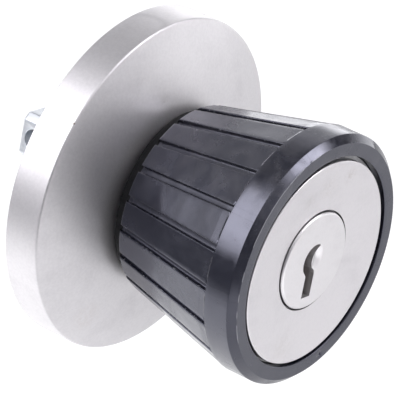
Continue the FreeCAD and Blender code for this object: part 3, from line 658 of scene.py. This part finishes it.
def buildBoltSpring():
    # wire carried along a helix round the locking pin: middle = (radius cos t, y, radius sin t) and each
    # section point = middle + wire (cos s * outward + sin s * crosswise); the ends close to a point
    p = boltSpring
    low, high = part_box("bolt_spring")
    back, front = high[1] / mm - p["wire"], low[1] / mm + p["wire"]
    share = np.linspace(0, 1, p["along"])
    t = share * 2 * np.pi * p["turns"]
    zero = np.zeros_like(t)
    outward = np.stack([np.cos(t), zero, np.sin(t)], -1)
    middle = p["radius"] * outward + np.stack([zero, back + (front - back) * share, zero + p["axisZ"]], -1)
    rise = zero + (front - back) / (2 * np.pi * p["turns"] * p["radius"])
    ahead = np.stack([-np.sin(t), rise, np.cos(t)], -1) / np.hypot(1, rise)[:, None]
    crosswise = np.cross(ahead, outward)
    s = fullTurn(p["section"])[:, None, None]
    tube = middle + p["wire"] * (np.cos(s) * outward + np.sin(s) * crosswise)
    ends = [np.broadcast_to(middle[k], (p["section"], 1, 3)) for k in (0, -1)]
    grid = np.concatenate([ends[0], tube, ends[1]], 1)
    piece = gridPiece("bolt_spring_skin", grid, finishes["spring_steel"])
    piece.modifiers.new("poles", "WELD").merge_threshold = p["pole"]
    return piece


spring = buildBoltSpring()
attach(spring, "knob")
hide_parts("bolt_spring")
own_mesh(spring)
print("bolt spring done")


# the other nodes keep their own shape and get broken edges, in millimetres
edgeBreaks = {"spindle": 0.12, "base_plate": 0.10, "hub": 0.08, "circlip": 0.06, "thrust_washer": 0.05,
              "disc_spring": 0.03, "spindle_pin": 0.04, "cylinder_housing": 0.08, "housing_screws": 0.06,
              "plug": 0.05, "ramp_cam": 0.06, "cam_screw": 0.06, "locking_pin": 0.06, "wafers": 0.03}
edgePlan = {"weld": 0.000002, "segments": 2, "angle": 35, "weight": 60}
slots = {part["node"]: part["material_slot"] for part in frame["record"]["subparts"]}
replaced = {"rose_cover", "knob_shell", "face_disc", "bolt_spring"}

for name, node in nodes.items():
    if name in replaced:
        continue
    for slot in node.material_slots:
        slot.material = finishes[slots[name]]
    weld = node.modifiers.new("weld", "WELD")
    weld.merge_threshold = edgePlan["weld"]
    if name.startswith("wafer_spring"):
        continue
    bevel = node.modifiers.new("edges", "BEVEL")
    bevel.width = edgeBreaks.get(name, edgeBreaks["wafers"]) * mm
    bevel.segments = edgePlan["segments"]
    bevel.limit_method = "ANGLE"
    bevel.angle_limit = np.radians(edgePlan["angle"])
    normals = node.modifiers.new("normals", "WEIGHTED_NORMAL")
    normals.weight = edgePlan["weight"]
print("kept nodes dressed")


studio = {
    "floorDrop": 0.030, "floorSize": 6.0, "floorColour": (0.80, 0.80, 0.81, 1), "floorLift": 0.30,
    "floorNoise": (60, 3), "floorBump": (0.05, 0.0002),
    "glossLift": (0.95, 0.15), "poolAt": (-0.035, 0.035, 0.0), "poolRadius": (0.045, 0.095),
    "frontPool": ((0.0, -0.15, 0.0), 0.05, 0.11, 0.5, 0.0),
    "tableAt": (0.40, -0.05, 0.0), "tableRadius": 0.50, "tableEdge": 0.03,
    "roomColour": (0.27, 0.27, 0.29, 1),
    "skyDiffuse": (0.68, 0.68, 0.69, 1), "skySeen": (1.1, 1.1, 1.1, 1), "tent": (0.98, 0.98, 1.0, 1),
}
# what polished surfaces see of the studio, each zone over the ones before it: middle and half width
# in degrees round and up, softness of both, colour
tentZones = {
    "overhead": {"round": (85, 75), "up": (72, 24), "soft": (9, 9), "colour": (0.26, 0.26, 0.27, 1)},
    "backHigh": {"round": (92, 30), "up": (32, 16), "soft": (9, 9), "colour": (0.58, 0.58, 0.60, 1)},
    "cameraSide": {"round": (-142, 32), "up": (5, 25), "soft": (8, 8), "colour": (0.16, 0.16, 0.18, 1)},
    "frontHigh": {"round": (-56, 48), "up": (29, 15), "soft": (7, 7), "colour": (0.17, 0.17, 0.18, 1)},
    "rightWall": {"round": (-10, 46), "up": (-1, 13), "soft": (14, 7), "colour": (2.15, 2.15, 2.17, 1)},
    "rightBack": {"round": (38, 14), "up": (2, 13), "soft": (8, 8), "colour": (3.0, 3.0, 3.05, 1)},
    "leftPanel": {"round": (148, 18), "up": (28, 23), "soft": (10, 6), "colour": (4.9, 4.85, 5.0, 1)},
    "frontPanel": {"round": (-60, 22), "up": (42, 10), "soft": (7, 7), "colour": (6.8, 6.7, 6.9, 1)},
}

floorZ = cadBounds[0][2] - studio["floorDrop"]
half = studio["floorSize"] / 2
floorMesh = bpy.data.meshes.new("studio_floor")
floorCorners = [(x * half, y * half, floorZ) for x, y in ((-1, -1), (1, -1), (1, 1), (-1, 1))]
floorMesh.from_pydata(floorCorners, [], [(0, 1, 2, 3)])
floor = bpy.data.objects.new("studio_floor", floorMesh)
bpy.context.collection.objects.link(floor)

floorPaint, floorTree, floorShader = newMaterial("floorPaint", {"Base Color": studio["floorColour"],
                                                                "Roughness": 0.7, "Specular IOR Level": 0.2,
                                                                "Emission Color": (1, 1, 1, 1)})
floorWhere = objectCoords(floorTree)
addBump(floorTree, floorShader, noise(floorTree, floorWhere, *studio["floorNoise"]), *studio["floorBump"])
levelPoint = flatPoint(floorTree, floorWhere, (1, 1, 0))


def mirrorRays(tree, rays):
    # 1 for rays that a reflection or a refraction sends out
    return maths(tree, "MAXIMUM", rays.outputs["Is Glossy Ray"], rays.outputs["Is Transmission Ray"])


def farFrom(centre, near, far, nearValue, farValue):
    # a value that changes with the distance along the floor from one place
    return spread(floorTree, gapTo(floorTree, levelPoint, centre), near, far, nearValue, farValue)


# for reflected rays only, the floor glows as a painted pool of light on a round table, brightest under and
# before the object, with a dim glowing room beyond it
rays = addNode(floorTree, "ShaderNodeLightPath")
mirrored = mirrorRays(floorTree, rays)
pool = farFrom(studio["poolAt"], *studio["poolRadius"], *studio["glossLift"])
beyond = farFrom(studio["tableAt"], studio["tableRadius"] - studio["tableEdge"],
                 studio["tableRadius"] + studio["tableEdge"], 0, 1)
seenLift = times(floorTree, rays.outputs["Is Camera Ray"], studio["floorLift"])
mirroredLift = times(floorTree, mirrored, maths(floorTree, "ADD", pool, farFrom(*studio["frontPool"])))
floorTree.links.new(maths(floorTree, "ADD", seenLift, mirroredLift), floorShader.inputs["Emission Strength"])
room = addNode(floorTree, "ShaderNodeEmission", {"Color": studio["roomColour"]})
blend = addNode(floorTree, "ShaderNodeMixShader", {0: times(floorTree, beyond, mirrored),
                                                   1: floorShader.outputs[0], 2: room.outputs[0]})
floorTree.links.new(blend.outputs[0], floorTree.nodes["Material Output"].inputs["Surface"])
floorMesh.materials.append(floorPaint)

world = bpy.data.worlds.new("studio")
bpy.context.scene.world = world
world.use_nodes = True
world.cycles.sampling_method = "NONE"  # the two skies below stay apart: each ray meets its own
sky = world.node_tree
background = sky.nodes["Background"]
skyPoint = addNode(sky, "ShaderNodeTexCoord").outputs["Generated"]
direction = addNode(sky, "ShaderNodeSeparateXYZ", {0: skyPoint})
degree = np.pi / 180
roundAngle = maths(sky, "DIVIDE", maths(sky, "ARCTAN2", direction.outputs[1], direction.outputs[0]), degree)
upAngle = maths(sky, "DIVIDE", maths(sky, "ARCSINE", direction.outputs[2]), degree)


def zoneMask(angle, middle, halfWidth, soft):
    # 1 within half a width of the middle and 0 outside, with a soft step and across 180 degrees
    turned = addNode(sky, "ShaderNodeMath", {0: maths(sky, "SUBTRACT", angle, middle), 1: 180, 2: -180},
                     operation="WRAP").outputs[0]
    away = maths(sky, "ABSOLUTE", turned)
    return spread(sky, away, halfWidth - soft, halfWidth + soft, 1.0, 0.0, "SMOOTHSTEP")


gloss = studio["tent"]
for zone in tentZones.values():
    mask = times(sky, zoneMask(roundAngle, *zone["round"], zone["soft"][0]),
                 zoneMask(upAngle, *zone["up"], zone["soft"][1]))
    gloss = mixColour(sky, mask, gloss, zone["colour"])
skyRays = addNode(sky, "ShaderNodeLightPath")
lit = mixColour(sky, mirrorRays(sky, skyRays), studio["skyDiffuse"], gloss)
seen = mixColour(sky, skyRays.outputs["Is Camera Ray"], lit, studio["skySeen"])
sky.links.new(seen, background.inputs["Color"])

softboxes = {
    "leftBox": {"at": (-0.52, 0.36, 0.33), "size": 0.40, "power": 1.6},
    "frontBox": {"at": (0.14, -0.50, 0.46), "size": 0.36, "power": 1.6},
}
for name, box in softboxes.items():
    lamp = bpy.data.lights.new(name, "AREA")
    lamp.energy, lamp.size = box["power"], box["size"]
    lampObject = bpy.data.objects.new(name, lamp)
    bpy.context.collection.objects.link(lampObject)
    lampObject.location = box["at"]
    lampObject.rotation_euler = (-Vector(box["at"])).to_track_quat("-Z", "Y").to_euler()
    lampObject.visible_glossy = False  # the tent's panels stand for it in reflections

cameraPlan = {"eye": (-0.414795, -0.290696, 0.206369), "aim": (-0.004503, -0.017, 0.003232),
              "roll": 11.023, "lens": 346.95, "sensor": 36, "clipStart": 0.01}
cameraData = bpy.data.cameras.new("camera")
cameraData.lens, cameraData.sensor_width = cameraPlan["lens"], cameraPlan["sensor"]
cameraData.clip_start = cameraPlan["clipStart"]
camera = bpy.data.objects.new("camera", cameraData)
bpy.context.collection.objects.link(camera)
look = Vector(cameraPlan["aim"]) - Vector(cameraPlan["eye"])
roll = Quaternion((0, 0, 1), np.radians(cameraPlan["roll"]))
camera.location = cameraPlan["eye"]
camera.rotation_mode = "QUATERNION"
camera.rotation_quaternion = look.to_track_quat("-Z", "Y") @ roll
bpy.context.scene.camera = camera
bpy.context.scene.view_settings.view_transform = "Standard"
print("studio ready")
